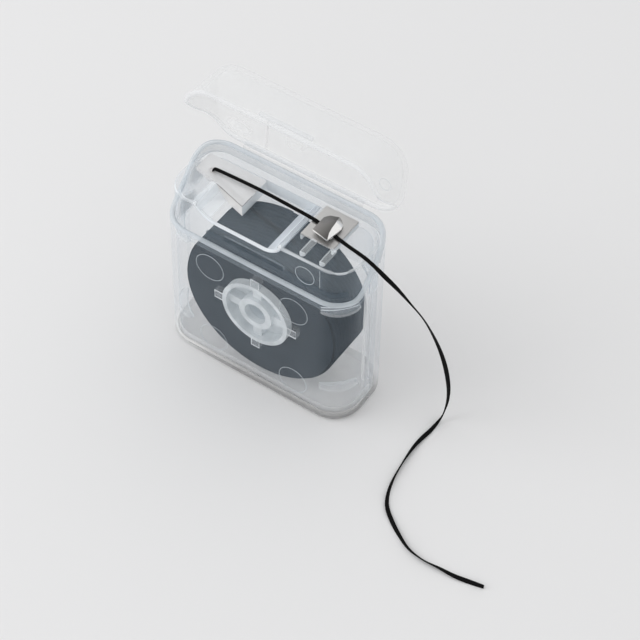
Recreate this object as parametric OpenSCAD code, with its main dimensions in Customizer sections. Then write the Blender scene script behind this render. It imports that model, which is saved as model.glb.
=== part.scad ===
/* [Case] */
// Width of the case, left to right
case_w = 45; // [40:0.5:52]
// Depth of the case, front to back
case_d = 17.6; // [16.5:0.1:22]
// Height of the back rim, where the lid is hinged
case_h = 45.2; // [44:0.1:50]
// Height of the front rim
front_h = 35.2; // [34.5:0.1:37]
// Radius of the four upright corners
corner_r = 6.6; // [5.6:0.1:7.4]
// Wall thickness of the two case shells
wall = 1.1; // [0.8:0.05:1.3]
// Thickness of the case floor
floor_t = 1; // [0.7:0.05:1.2]
// Rounding of the lower outside edge
edge_r = 1.2; // [0.8:0.1:1.8]
// Flat stretch of the rim behind the front face, before it rises
rise_front = 3.2; // [2:0.1:4.5]
// Flat stretch of the rim in front of the back face
rise_back = 1; // [0.6:0.1:2]

/* [Seam between the shells] */
// Place of the seam, measured back from the middle of the case
seam_y = 0.6; // [0:0.1:1]
// Length of the tongue that laps into the front shell
lap_len = 1.6; // [1:0.1:2]
// Play between the tongue and its rebate
lap_gap = 0.05; // [0.03:0.01:0.1]

/* [Lid] */
// Height of the closed lid's top above the back rim
lid_rise = 1.9; // [1.5:0.1:2.6]
// Thickness of the lid's top
lid_roof = 1; // [0.7:0.1:1.1]
// Thickness of the lid's skirt
lid_wall = 1; // [0.7:0.05:1]
// Gap between the closed lid's edge and the rim
lid_gap = 0.2; // [0.1:0.05:0.4]
// Rounding of the lid's upper outside edge
lid_edge_r = 1.6; // [1:0.1:2.2]
// Angle at which the lid stands open
lid_open = 96.5; // [0:0.5:165]
// Width of the thin hinge strip
hinge_w = 28; // [16:1:30]
// Radius of the bending line of the hinge strip
hinge_r = 0.2; // [0.15:0.01:0.24]
// Distance of the hinge line behind the back face
hinge_out = 0.25; // [0.25:0.01:0.4]
// Height of the hinge line above the back rim
hinge_up = 0.15; // [0.1:0.01:0.2]
// Height of each leaf of the hinge strip
leaf_h = 0.6; // [0.4:0.1:0.8]
// Length of the latch bead inside the lid
bead_w = 12; // [6:1:20]
// How far the latch bead stands in from the lid's skirt
bead_h = 0.3; // [0.25:0.01:0.34]
// Height of the latch bead above the front rim
bead_up = 2.4; // [1.8:0.1:3]

/* [Deck insert] */
// Drop of the deck below the back rim
deck_drop = 1.9; // [1.7:0.1:2.4]
// Thickness of the deck
deck_t = 1.1; // [0.8:0.1:1.4]
// Wall thickness of the insert's collar
insert_wall = 1; // [0.8:0.1:1.2]
// Play between the insert and the case
insert_gap = 0.1; // [0.05:0.01:0.15]
// Height of the whole insert
insert_h = 11.7; // [10.5:0.1:12.5]
// Rounding of the insert's upper edge
insert_edge_r = 0.6; // [0.3:0.1:1]
// Thickness of the corner webs in the case
web_t = 0.8; // [0.6:0.1:1.2]
// Depth of a corner web on the diagonal
web_w = 1.8; // [1.4:0.1:2.4]
// Radius of the inner edge of a corner web
web_r = 12; // [9:0.5:16]
// Height of the lower pair of corner webs
low_web_z = 8; // [5:0.5:14]

/* [Finger scoop] */
// Depth of the finger scoop below the deck
scoop_depth = 2.7; // [2:0.1:3]
// Thickness of the scoop's floor and walls
scoop_t = 1; // [0.8:0.1:1.2]
// Place of the left end of the scoop's flat floor
scoop_x0 = -8.5; // [-9:0.1:-7.5]
// Place of the right end of the scoop's flat floor
scoop_x1 = 2.2; // [0:0.1:2.4]
// Radius of the scoop's left flank
scoop_left_r = 6; // [4:0.1:6.4]
// Radius of the scoop's right flank
scoop_right_r = 3.6; // [3:0.1:3.8]
// Distance of the scoop's back wall behind the middle of the case
scoop_back = 5.4; // [4:0.1:5.5]
// Right end of the guide block beside the scoop
block_x = -5.8; // [-7:0.1:-4.6]
// Front of the guide block at its right end
block_y1 = -3; // [-4:0.1:-1]
// Front of the guide block at its left end
block_y0 = -0.5; // [-0.6:0.1:0.8]

/* [Floss hole] */
// Place of the floss hole, left of the middle
hole_x = -16; // [-17:0.1:-15.4]
// Place of the floss hole, behind the middle
hole_y = 1.8; // [1.7:0.05:1.9]
// Radius of the floss hole
hole_r = 0.9; // [0.8:0.05:1.1]
// Wall of the boss around the floss hole
boss_t = 0.8; // [0.6:0.1:1.2]
// Depth of that boss below the deck
boss_h = 0.5; // [0.5:0.1:1.4]

/* [Cutter] */
// Place of the cutter's middle, right of the middle of the case
cutter_x = 11.2; // [11:0.1:13]
// Place of the cutter's middle, behind the middle of the case
cutter_y = 1.9; // [1.7:0.1:2]
// Width of the cutter plate
cutter_w = 7.4; // [7:0.1:8]
// Depth of the cutter plate
cutter_d = 8.8; // [8:0.1:9]
// Thickness of the steel
steel_t = 0.3; // [0.25:0.01:0.35]
// Length of the folded legs
leg_h = 1.3; // [1.3:0.1:4]
// Play of the legs in their slots
slot_gap = 0.05; // [0.03:0.01:0.08]
// Height of the tooth's tip above the plate
tooth_h = 1.4; // [1.3:0.05:1.45]
// Width of the ribs in front of the cutter
rib_w = 1.2; // [0.8:0.1:1.4]
// Length of those ribs
rib_len = 4.5; // [3:0.1:4.6]
// Height of those ribs
rib_h = 0.6; // [0.4:0.1:0.9]
// Distance between those ribs
rib_pitch = 4.5; // [3.5:0.1:5.5]
// Distance of the ribs' middle to the right of the cutter's middle
rib_shift = 1.8; // [1:0.1:2]

/* [Spool] */
// Gap between the full roll and the case floor
roll_low_gap = 0.3; // [0.2:0.05:1]
// Gap between the full roll and the underside of the finger scoop
roll_top_gap = 2; // [1.8:0.1:5]
// Outer radius of the core's tube
core_r = 7.9; // [6.8:0.1:8.6]
// Wall thickness of the core's tube
core_wall = 1; // [0.7:0.1:1.4]
// Radius of the core's hub
hub_r = 3.9; // [3.5:0.1:4.6]
// Reach of the core's lugs and rear flange from the axis
lug_r = 9.85; // [9:0.05:11]
// Width of the core's lugs and spokes
lug_w = 2; // [1.4:0.1:2.6]
// Thickness of the lugs along the axis
lug_t = 1.4; // [1:0.1:2.4]
// How far the tube stands in front of the lugs
core_lip = 0.2; // [0.1:0.1:0.5]
// Setback of the spokes behind the lugs' front
spoke_in = 0.8; // [0.4:0.1:1.6]
// Setback of the core's web disc behind the lugs' front
disc_in = 2.6; // [2:0.1:5]
// Thickness of that disc
disc_t = 1; // [0.7:0.1:1.5]
// Thickness of the rear flange
flange_t = 0.8; // [0.6:0.1:1.2]
// Gap between the core and the front wall
core_front_gap = 0.3; // [0.3:0.1:0.8]
// Gap between the core and the post's shoulder
core_back_gap = 0.1; // [0.05:0.01:0.2]
// Radius of the post that the core turns on
post_r = 2.4; // [2:0.1:2.8]
// Radius of the hole in the post's end
post_bore_r = 1.2; // [0.8:0.1:1.5]
// Radial play of the core on the post
post_gap = 0.1; // [0.05:0.01:0.1]
// Setback of the post's end from the core's front
post_in = 1.4; // [1:0.1:2]
// Height of the shoulder at the post's foot
shoulder_h = 0.6; // [0.4:0.1:1]
// Width of that shoulder around the post
shoulder_w = 1.2; // [0.8:0.1:1.6]

/* [Floss] */
// Width of the flat floss
floss_w = 0.9; // [0.8:0.05:1]
// Thickness of the flat floss
floss_t = 0.3; // [0.2:0.05:0.35]
// Turns in the outer layer
turns = 8; // [4:1:8]
// Half twists of the free tail
tail_twists = 5; // [0:1:8]

/* [Hidden] */
$fn = 48;
clear_pp = [0.84, 0.87, 0.89, 0.45];
milky_pp = [0.75, 0.77, 0.78];
steel = [0.72, 0.7, 0.68];
slate = [0.22, 0.24, 0.27];
ink = [0.07, 0.07, 0.08];

// Overshoot of cutting shapes past the faces that they cut
over = 1;
// Points of the rim's rising curve
rim_steps = 20;
front_y = -case_d/2;
back_y = case_d/2;
in_w = case_w - 2*wall;
in_d = case_d - 2*wall;
in_r = corner_r - wall;
inner_edge_r = 0.3;
// Distance between the ribs and the cutter's front edge
rib_gap = 0.1;
lid_top = case_h + lid_rise;
hinge_y = back_y + hinge_out;
hinge_z = case_h + hinge_up;
deck_z = case_h - deck_drop;
insert_z = deck_z - insert_h;
insert_w = in_w - 2*insert_gap;
insert_d = in_d - 2*insert_gap;
insert_r = in_r - insert_gap;
scoop_z = deck_z - scoop_depth;
bead_z = front_h + bead_up;
cutter_z = deck_z + steel_t;
// The full roll fills the height between the case floor and the scoop, less its two gaps
roll_r = (scoop_z - scoop_t - roll_top_gap - floor_t - roll_low_gap)/2;
spool_z = floor_t + roll_low_gap + roll_r;
core_y0 = front_y + wall + core_front_gap;
core_y1 = back_y - wall - shoulder_h - core_back_gap;
roll_y0 = core_y0 + core_lip + lug_t;
roll_y1 = core_y1 - flange_t;
// Sides of one turn of the winding
turn_steps = 24;
wind_r = roll_r - floss_t/2;
// The flat sides of a turn cut this far inside its circle
wind_sag = wind_r*(1 - cos(180/turn_steps));
plain_r = wind_r - wind_sag - floss_t/2 - 0.02;
wind_margin = 0.1;
wind_y0 = roll_y0 + floss_w/2 + wind_margin;
wind_pitch = (roll_y1 - roll_y0 - floss_w - 2*wind_margin)/turns;

// Route of the floss from the roll up to the hole, over the deck and through the cutter
inside_route = [[5, -0.5, 37.38], [-0.5, 0.1, 38.2], [-6.2, 0.8, 39.1], [-11, 1.4, 40.2], [-14, 1.7, 41.05],
    [-15.4, 1.8, 41.55], [-15.95, 1.8, 42.3], [-16, 1.8, 43.1]];
deck_route = [[-16, 1.8, 43.65], [-15.3, 1.8, 43.88], [-14, 1.85, 43.92], [-10.5, 2, 43.92], [-6, 2.1, 43.92],
    [-1.5, 2.05, 43.92], [3, 1.9, 43.9], [7.4, 1.75, 43.84], [9.2, 1.5, 43.78], [11.3, 1, 43.78]];
rim_route = [[13.5, 0.4, 43.8], [16.4, -0.2, 43.8], [19.2, -0.7, 43.85], [21.4, -1, 43.7]];
tail_route = [[23.6, -1.2, 43], [26, -1.2, 41.6], [28.6, -1, 39.8], [31, -0.5, 37.2], [33.8, 0.6, 33],
    [35.8, 1.9, 27.5], [37.1, 3, 22.2], [37.9, 3.9, 17], [38.2, 4.8, 11.5], [38, 5.4, 7], [37.6, 5.5, 3.6],
    [37.3, 5, 1.4], [37.1, 3.6, 0.5], [37, 1, 0.46], [36.6, -2, 0.46], [36.5, -5, 0.46], [36.8, -8.8, 0.46],
    [37.4, -12.8, 0.46], [38.4, -16.4, 0.46], [40, -19.4, 0.46], [42.5, -21.7, 0.46], [45.6, -23.8, 0.46],
    [48.9, -25.5, 0.46], [52.5, -26.1, 0.46], [56, -25.9, 0.46], [59.4, -25.8, 0.46], [62.4, -25.3, 0.46],
    [65.3, -24.7, 0.46]];
route = concat(inside_route, deck_route, rim_route, tail_route);
lead_end = len(inside_route);
span_end = lead_end + len(deck_route);
rim_end = span_end + len(rim_route);
route_end = len(route) - 1;

// Height of the rim at a depth y: level, then half a cosine wave, then level
rise_y0 = front_y + rise_front;
rise_y1 = back_y - rise_back;
function rim_z(y) = let (t = min(max((y - rise_y0)/(rise_y1 - rise_y0), 0), 1))
    front_h + (case_h - front_h)*(1 - cos(180*t))/2;
rim_ys = concat([front_y - over], [for (i = [0:rim_steps]) rise_y0 + (rise_y1 - rise_y0)*i/rim_steps],
    [back_y + over]);

function unit(v) = v/norm(v);
// Direction of the route at point i
function heading(pts, i) = unit(pts[min(i + 1, len(pts) - 1)] - pts[max(i - 1, 0)]);
// The flat side's direction, carried along the route without turning about it
function carried(pts, i, side) =
    i >= len(pts) ? [] :
    let (t = heading(pts, i), s = unit(side - (side*t)*t)) concat([s], carried(pts, i + 1, s));
// Flat section of the floss around point p, turned by the angle a about the heading t
function tape_ring(p, t, s, a, w, h, n) = let (u = cross(t, s), s2 = s*cos(a) + u*sin(a), u2 = u*cos(a) - s*sin(a))
    [for (k = [0:n - 1]) p + s2*(w/2)*cos(360*k/n) + u2*(h/2/sin(60))*sin(360*k/n)];
// Faces of a tube of m rings with n points each, closed at both ends
function tube_faces(m, n) = concat(
    [for (i = [0:m - 2], k = [0:n - 1], half = [0, 1]) let (a = i*n + k, b = i*n + (k + 1)%n)
        half == 0 ? [a, b + n, b] : [a, a + n, b + n]],
    [[for (k = [0:n - 1]) k]], [[for (k = [n - 1:-1:0]) (m - 1)*n + k]]);

// Finer points on a smooth curve through the route, four points at a time
function smooth_point(a, b, c, d, t) = 0.5*(2*b + (c - a)*t + (2*a - 5*b + 4*c - d)*t*t
    + (3*b - a - 3*c + d)*t*t*t);
fine = 2;
fine_route = concat([for (i = [0:route_end - 1], j = [0:fine - 1])
    smooth_point(route[max(i - 1, 0)], route[i], route[i + 1], route[min(i + 2, route_end)], j/fine)],
    [route[route_end]]);
fine_sides = carried(fine_route, 0, [0, 1, 0]);
tail_start = fine*rim_end;
fine_end = len(fine_route) - 1;

// Points of the winding: a steady helix about the spool's axis
wind_points = [for (i = [0:turns*turn_steps]) let (a = 360*i/turn_steps)
    [wind_r*sin(a), wind_y0 + wind_pitch*i/turn_steps, spool_z + wind_r*cos(a)]];
wind_gap = min([for (i = [0:turn_steps]) min([for (j = [i + turn_steps/2:i + turn_steps*3/2])
    norm(wind_points[i] - wind_points[j])])]) - floss_w;
echo(least_gap_between_turns = wind_gap);

// A solid that fills everything below the rim, moved up or down by a shift
module below_rim(shift) {
    rotate([90, 0, 90]) linear_extrude(case_w + 2*over, center = true)
        polygon(concat([[front_y - over, -over]], [for (y = rim_ys) [y, rim_z(y) + shift]], [[back_y + over, -over]]));
}

// A solid that fills everything above the rim, moved up or down by a shift
module above_rim(shift) {
    rotate([90, 0, 90]) linear_extrude(case_w + 2*over, center = true)
        polygon(concat([[front_y - over, lid_top + over]], [for (y = rim_ys) [y, rim_z(y) + shift]],
            [[back_y + over, lid_top + over]]));
}

// Side view of a block with both lower corners rounded
module block_profile(span, h, e) {
    translate([-span/2, e]) square([span, h - e]);
    translate([-span/2 + e, 0]) square([span - 2*e, h]);
    for (s = [-1, 1]) translate([s*(span/2 - e), e]) circle(e);
}

// Half of that view, for the rounded corner posts
module post_profile(r, h, e) {
    translate([0, e]) square([r, h - e]);
    square([r - e, h]);
    translate([r - e, e]) circle(e);
}

// A block standing on z = 0, with upright corners of radius r and a lower edge of radius e
module rounded_block(w, d, h, r, e) {
    for (sx = [-1, 1], sy = [-1, 1]) translate([sx*(w/2 - r), sy*(d/2 - r), 0])
        rotate_extrude() post_profile(r, h, e);
    rotate([90, 0, 90]) linear_extrude(w - 2*r, center = true) block_profile(d, h, e);
    rotate([90, 0, 0]) linear_extrude(d - 2*r, center = true) block_profile(w, h, e);
}

// The same block hanging down from a height, with its rounded edge on top
module hanging_block(w, d, z_top, h, r, e) {
    translate([0, 0, z_top]) mirror([0, 0, 1]) rounded_block(w, d, h, r, e);
}

// Plan of a block with rounded corners
module rounded_plan(w, d, r) {
    square([w, d - 2*r], center = true);
    square([w - 2*r, d], center = true);
    for (sx = [-1, 1], sy = [-1, 1]) translate([sx*(w/2 - r), sy*(d/2 - r)]) circle(r);
}

// A cylinder along Y between two depths, on the spool's axis
module axle_disc(r, y0, y1) {
    translate([0, y1, spool_z]) rotate([90, 0, 0]) cylinder(h = y1 - y0, r = r);
}

// Everything in front of a depth, or behind it
module slab(y0, y1) {
    translate([-case_w/2 - over, y0, -over]) cube([case_w + 2*over, y1 - y0, lid_top + 2*over]);
}

// The two shells as one hollow case
module case_wall() {
    intersection() {
        difference() {
            rounded_block(case_w, case_d, case_h, corner_r, edge_r);
            translate([0, 0, floor_t]) rounded_block(in_w, in_d, case_h, in_r, inner_edge_r);
        }
        below_rim(0);
    }
}

// Half of the wall's thickness on the inside, where the tongue laps
module lap_layer(play) {
    lap_in = wall/2 + play;
    difference() {
        translate([0, 0, floor_t/2 + play]) rounded_block(case_w - 2*lap_in, case_d - 2*lap_in, case_h,
            corner_r - lap_in, edge_r - lap_in + inner_edge_r);
        translate([0, 0, floor_t]) rounded_block(in_w, in_d, case_h, in_r, inner_edge_r);
    }
}

// A flat web across one corner of the case; its inner edge is an arc
module corner_web(sx, sy, z) {
    corner_x = in_w/2 - in_r;
    corner_y = in_d/2 - in_r;
    reach = (web_r + web_w - in_r)/sqrt(2);
    translate([0, 0, z]) linear_extrude(web_t) difference() {
        intersection() {
            rounded_plan(in_w + wall, in_d + wall, in_r + wall/2);
            translate([sx*(corner_x + in_r), sy*(corner_y + in_r)]) square(2*in_r + wall, center = true);
        }
        translate([sx*(corner_x - reach), sy*(corner_y - reach)]) circle(web_r, $fn = 96);
    }
}

module front_shell() {
    color(clear_pp) union() {
        difference() {
            intersection() {
                case_wall();
                slab(front_y - over, seam_y);
            }
            intersection() {
                lap_layer(0);
                slab(seam_y - lap_len, seam_y + over);
            }
        }
        for (sx = [-1, 1]) {
            corner_web(sx, -1, low_web_z);
            corner_web(sx, -1, insert_z - web_t);
        }
    }
}

// The post that the spool turns on, with its shoulder, from the back wall forwards
module spool_post() {
    tip_y = core_y0 + post_in;
    difference() {
        union() {
            axle_disc(post_r, tip_y, back_y - wall/2);
            axle_disc(post_r + shoulder_w, core_y1 + core_back_gap, back_y - wall/2);
        }
        axle_disc(post_bore_r, tip_y - over, core_y1);
    }
}

module rear_shell() {
    color(clear_pp) union() {
        intersection() {
            case_wall();
            slab(seam_y, back_y + over);
        }
        intersection() {
            lap_layer(lap_gap);
            below_rim(-lap_gap);
            slab(seam_y - lap_len + lap_gap, seam_y + lap_gap);
        }
        for (sx = [-1, 1]) corner_web(sx, 1, insert_z - web_t);
        spool_post();
    }
}

// The lid in its closed place
module lid_closed() {
    difference() {
        intersection() {
            hanging_block(case_w, case_d, lid_top, lid_top - front_h, corner_r, lid_edge_r);
            above_rim(lid_gap);
        }
        hanging_block(case_w - 2*lid_wall, case_d - 2*lid_wall, lid_top - lid_roof, lid_top, corner_r - lid_wall,
            inner_edge_r);
    }
    intersection() {
        translate([0, front_y + lid_wall - bead_h/2, bead_z]) rotate([0, 90, 0])
            cylinder(h = bead_w, r = bead_h*1.5, center = true);
        slab(front_y + lid_wall/2, front_y + lid_wall + bead_h);
    }
    translate([-hinge_w/2, back_y - lid_wall/2, hinge_z + hinge_r + 0.05])
        cube([hinge_w, lid_wall/2 + hinge_out, leaf_h]);
}

module lid() {
    color(clear_pp) translate([0, hinge_y, hinge_z]) rotate([-lid_open, 0, 0])
        translate([0, -hinge_y, -hinge_z]) lid_closed();
}

// Thin strip on the back face that carries the bending line of the moulded hinge
module hinge_strip() {
    color(clear_pp) {
        translate([-hinge_w/2, back_y, case_h - leaf_h]) cube([hinge_w, hinge_out, leaf_h + hinge_up]);
        translate([0, hinge_y, hinge_z]) rotate([0, 90, 0]) cylinder(h = hinge_w, r = hinge_r, center = true);
    }
}

// Cross-section of the finger scoop, carried along Y: a flat floor between two round flanks
module scoop_form(grow) {
    base_z = scoop_z - grow;
    translate([scoop_x0, 0, scoop_z + scoop_left_r]) rotate([90, 0, 0])
        cylinder(h = 2*case_d, r = scoop_left_r + grow, center = true, $fn = 96);
    translate([scoop_x1, 0, scoop_z + scoop_right_r]) rotate([90, 0, 0])
        cylinder(h = 2*case_d, r = scoop_right_r + grow, center = true, $fn = 96);
    translate([scoop_x0, -case_d, base_z]) cube([scoop_x1 - scoop_x0, 2*case_d, scoop_depth + over + grow]);
}

// Plan of the scoop: it runs out at the front, and the guide block stands in its left back corner
module scoop_plan(grow) {
    left = scoop_x0 - scoop_left_r - grow;
    right = scoop_x1 + scoop_right_r + grow;
    polygon([[left, front_y - over], [right, front_y - over], [right, scoop_back + grow],
        [block_x - grow, scoop_back + grow], [block_x - grow, block_y1 + grow], [left, block_y0 + grow]]);
}

module scoop(grow) {
    intersection() {
        translate([0, 0, scoop_z - 2*grow - over]) linear_extrude(scoop_depth + 2*grow + 3*over) scoop_plan(grow);
        scoop_form(grow);
    }
}

module insert_collar() {
    difference() {
        hanging_block(insert_w, insert_d, deck_z, insert_h, insert_r, insert_edge_r);
        hanging_block(insert_w - 2*insert_wall, insert_d - 2*insert_wall, deck_z - deck_t, insert_h,
            insert_r - insert_wall, inner_edge_r);
    }
}

// Rib with a round front end, on the deck in front of the cutter
module cutter_rib(x) {
    translate([x, cutter_y - cutter_d/2 - rib_w/2 - rib_gap, deck_z - deck_t/2]) {
        translate([-rib_w/2, -rib_len + rib_w, 0]) cube([rib_w, rib_len - rib_w/2, rib_h + deck_t/2]);
        translate([0, -rib_len + rib_w, 0]) cylinder(h = rib_h + deck_t/2, r = rib_w/2);
    }
}

module deck_insert() {
    color(clear_pp) difference() {
        union() {
            insert_collar();
            intersection() {
                hanging_block(insert_w, insert_d, deck_z, insert_h, insert_r, insert_edge_r);
                scoop(scoop_t);
            }
            translate([hole_x, hole_y, deck_z - deck_t - boss_h]) cylinder(h = boss_h + deck_t/2, r = hole_r + boss_t);
            for (s = [-1, 1]) cutter_rib(cutter_x + rib_shift + s*rib_pitch/2);
        }
        scoop(0);
        translate([hole_x, hole_y, deck_z - deck_t - boss_h - over]) cylinder(h = deck_t + boss_h + 2*over, r = hole_r);
        for (s = [-1, 1]) translate([cutter_x + s*(cutter_w - steel_t)/2, cutter_y, deck_z - deck_t])
            cube([steel_t + 2*slot_gap, cutter_d + 2*slot_gap, 3*deck_t], center = true);
        translate([0, -insert_d/2, bead_z]) rotate([0, 90, 0])
            cylinder(h = bead_w + 2*over, r = bead_h*2.2, center = true);
    }
}

// Raised tooth around the cutter's middle, each point with its share of the height: the left and front corners of the
// free edge, five points of the round cutting edge, and three of the root at the back and left
tooth_outline = [[-1.72, -3.3, 0.95], [2.15, -4.05, 0.92], [2.4, -1.45, 0.7], [2.45, 0.3, 0.5], [1.95, 1.7, 0.28],
    [0.85, 2.8, 0.12], [0.1, 3.2, 0.05], [-1.6, 2.6, 0.02], [-2.07, 1.1, 0.45]];
// Ridge between the tooth's broad face and the bright ground face along its cutting edge
tooth_ridge = [[1.45, -2.4, 1], [1.15, -1, 0.98], [0.8, 0.9, 0.7]];
tooth_edges = len(tooth_outline);
tooth_points = concat(tooth_outline, tooth_ridge);
tooth_top = [for (p = tooth_points) [cutter_x + p[0], cutter_y + p[1], cutter_z + tooth_h*p[2]]];
tooth_low = [for (p = tooth_top) p - [0, 0, steel_t]];
tooth_faces = [[0, 9, 1], [0, 10, 9], [0, 8, 10], [8, 11, 10], [8, 7, 11], [7, 6, 11], [1, 9, 2], [2, 9, 10], [2, 10, 3],
    [3, 10, 11], [3, 11, 4], [4, 11, 5], [5, 11, 6]];
tooth_sides = [for (k = [0:tooth_edges - 1]) let (n = (k + 1) % tooth_edges, m = len(tooth_points)) [k, n, n + m, k + m]];
tooth_under = [for (f = tooth_faces) [for (k = [2:-1:0]) f[k] + len(tooth_points)]];
tooth_window = [for (p = tooth_outline) [p[0]*0.86, p[1]*0.78]];

module cutter_plate() {
    color(steel) {
        difference() {
            translate([cutter_x - cutter_w/2, cutter_y - cutter_d/2, deck_z]) cube([cutter_w, cutter_d, steel_t]);
            translate([cutter_x, cutter_y, deck_z - over]) linear_extrude(2*over + steel_t) polygon(tooth_window);
        }
        for (s = [-1, 1]) translate([cutter_x + s*(cutter_w - steel_t)/2 - steel_t/2, cutter_y - cutter_d/2,
            deck_z - leg_h]) cube([steel_t, cutter_d, leg_h + steel_t/2]);
        polyhedron(concat(tooth_top, tooth_low), concat(tooth_faces, tooth_sides, tooth_under));
    }
}

module spool_core() {
    spoke_y = core_y0 + core_lip + spoke_in;
    disc_y = core_y0 + core_lip + disc_in;
    color(milky_pp) difference() {
        union() {
            difference() {
                union() {
                    axle_disc(core_r, core_y0, core_y1);
                    axle_disc(lug_r, roll_y1, core_y1);
                }
                axle_disc(core_r - core_wall, core_y0 - over, core_y1 + over);
            }
            axle_disc(hub_r, core_y0 + core_lip, core_y1);
            axle_disc(core_r - core_wall/2, disc_y, disc_y + disc_t);
            for (a = [0, 90]) translate([0, 0, spool_z]) rotate([0, a, 0])
                translate([-core_r + core_wall/2, spoke_y, -lug_w/2]) cube([2*core_r - core_wall, disc_y + disc_t/2 - spoke_y, lug_w]);
            for (a = [0:90:270]) translate([0, 0, spool_z]) rotate([0, a, 0])
                translate([core_r - core_wall/2, core_y0 + core_lip, -lug_w/2])
                    cube([lug_r - core_r + core_wall/2, lug_t, lug_w]);
        }
        axle_disc(post_r + post_gap, core_y0 - over, core_y1 + over);
    }
}

module floss_roll() {
    color(slate) difference() {
        axle_disc(plain_r, roll_y0, roll_y1);
        axle_disc(core_r, roll_y0 - over, roll_y1 + over);
    }
}

module floss_winding() {
    sides = 6;
    count = len(wind_points);
    color(slate) polyhedron([for (i = [0:count - 1]) let (p = wind_points[i], out = unit([p[0], 0, p[2] - spool_z]))
        each tape_ring(p, cross([0, 1, 0], out), [0, 1, 0], 0, floss_w, floss_t, sides)], tube_faces(count, sides));
}

// The floss between two points of its route; the free tail twists as it goes
module floss(first, last, twist) {
    sides = 8;
    count = last - first + 1;
    color(ink) polyhedron([for (i = [first:last])
        each tape_ring(fine_route[i], heading(fine_route, i), fine_sides[i], twist*(i - first)/(count - 1),
            floss_w, floss_t*sin(60), sides)], tube_faces(count, sides));
}

module floss_lead() { floss(0, fine*lead_end, 0); }
module floss_span() { floss(fine*lead_end, fine*span_end, 0); }
module floss_over_rim() { floss(fine*span_end, tail_start, 0); }
module floss_tail() { floss(tail_start, fine_end, 180*tail_twists); }

front_shell();
rear_shell();
lid();
hinge_strip();
deck_insert();
cutter_plate();
spool_core();
floss_roll();
floss_winding();
floss_lead();
floss_span();
floss_over_rim();
floss_tail();
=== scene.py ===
"""Clear floss dispenser: every CAD node dressed, with its thread, a plain stage and the photo's camera."""
import math

import bmesh
import bpy
import numpy as np
from mathutils import Matrix, Vector


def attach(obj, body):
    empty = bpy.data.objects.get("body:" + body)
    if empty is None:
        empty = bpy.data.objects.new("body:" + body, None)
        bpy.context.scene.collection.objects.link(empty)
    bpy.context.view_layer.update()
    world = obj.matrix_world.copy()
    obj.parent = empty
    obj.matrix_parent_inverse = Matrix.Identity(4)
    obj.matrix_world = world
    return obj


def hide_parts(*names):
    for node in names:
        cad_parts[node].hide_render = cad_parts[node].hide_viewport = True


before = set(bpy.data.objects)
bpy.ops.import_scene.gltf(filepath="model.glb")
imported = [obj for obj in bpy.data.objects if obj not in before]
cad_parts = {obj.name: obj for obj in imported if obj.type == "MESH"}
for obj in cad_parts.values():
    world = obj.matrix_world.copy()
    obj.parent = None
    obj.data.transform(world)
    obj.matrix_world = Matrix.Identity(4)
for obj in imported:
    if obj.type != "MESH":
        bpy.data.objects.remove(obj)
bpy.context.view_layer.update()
MM = 0.001


# Sizes in millimetres and angles in degrees, with the same names and values as in the part's source

# Case, its walls and the wave of its rim
case_w = 45.0
case_d = 17.6
case_h = 45.2
front_h = 35.2
corner_r = 6.6
wall = 1.1
floor_t = 1.0
edge_r = 1.2
rise_front = 3.2
rise_back = 1.0
seam_y = 0.6
front_y = -case_d / 2
back_y = case_d / 2

# Lid, how far it stands open, and the line that it turns about
lid_rise = 1.9
lid_roof = 1.0
lid_wall = 1.0
lid_gap = 0.2
lid_edge_r = 1.6
lid_top = case_h + lid_rise
lid_open = 96.5
hinge_w = 28.0
hinge_r = 0.2
hinge_out = 0.25
hinge_up = 0.15
hinge_y = back_y + hinge_out
hinge_z = case_h + hinge_up
leaf_h = 0.6
bead_w = 12.0
bead_up = 2.4

# Deck insert with its scoop, guide block and thread hole
deck_z = 43.3
insert_h = 11.7
insert_z = deck_z - insert_h
insert_gap = 0.1
insert_w = case_w - 2 * wall - 2 * insert_gap
insert_d = case_d - 2 * wall - 2 * insert_gap
insert_r = corner_r - wall - insert_gap
scoop_depth = 2.7
scoop_z = deck_z - scoop_depth
scoop_t = 1.0
scoop_x0 = -8.5
scoop_x1 = 2.2
scoop_left_r = 6.0
scoop_right_r = 3.6
block_x = -5.8
block_y0 = -0.5
block_y1 = -3.0
hole_x = -16.0
hole_y = 1.8

# Cutter and the ribs beside it
cutter_x = 11.2
cutter_y = 1.9
rib_pitch = 4.5
rib_shift = 1.8

# Corner webs
web_t = 0.8
web_w = 1.8
web_r = 12.0
low_web_z = 8.0

# Spool, its post and the wound floss
roll_low_gap = 0.3
roll_top_gap = 2.0
roll_r = (scoop_z - scoop_t - roll_top_gap - floor_t - roll_low_gap) / 2
spool_z = floor_t + roll_low_gap + roll_r
shoulder_h = 0.6
shoulder_w = 1.2
core_front_gap = 0.3
core_back_gap = 0.1
core_r = 7.9
core_y0 = front_y + wall + core_front_gap
core_y1 = back_y - wall - shoulder_h - core_back_gap
core_lip = 0.2
flange_t = 0.8
lug_r = 9.85
lug_w = 2.0
lug_t = 1.4
roll_y0 = core_y0 + core_lip + lug_t
roll_y1 = core_y1 - flange_t
post_r = 2.4
post_bore_r = 1.2
post_in = 1.4
tip_y = core_y0 + post_in

# Floss
floss_w = 0.9
floss_t = 0.3
tail_twists = 5


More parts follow.
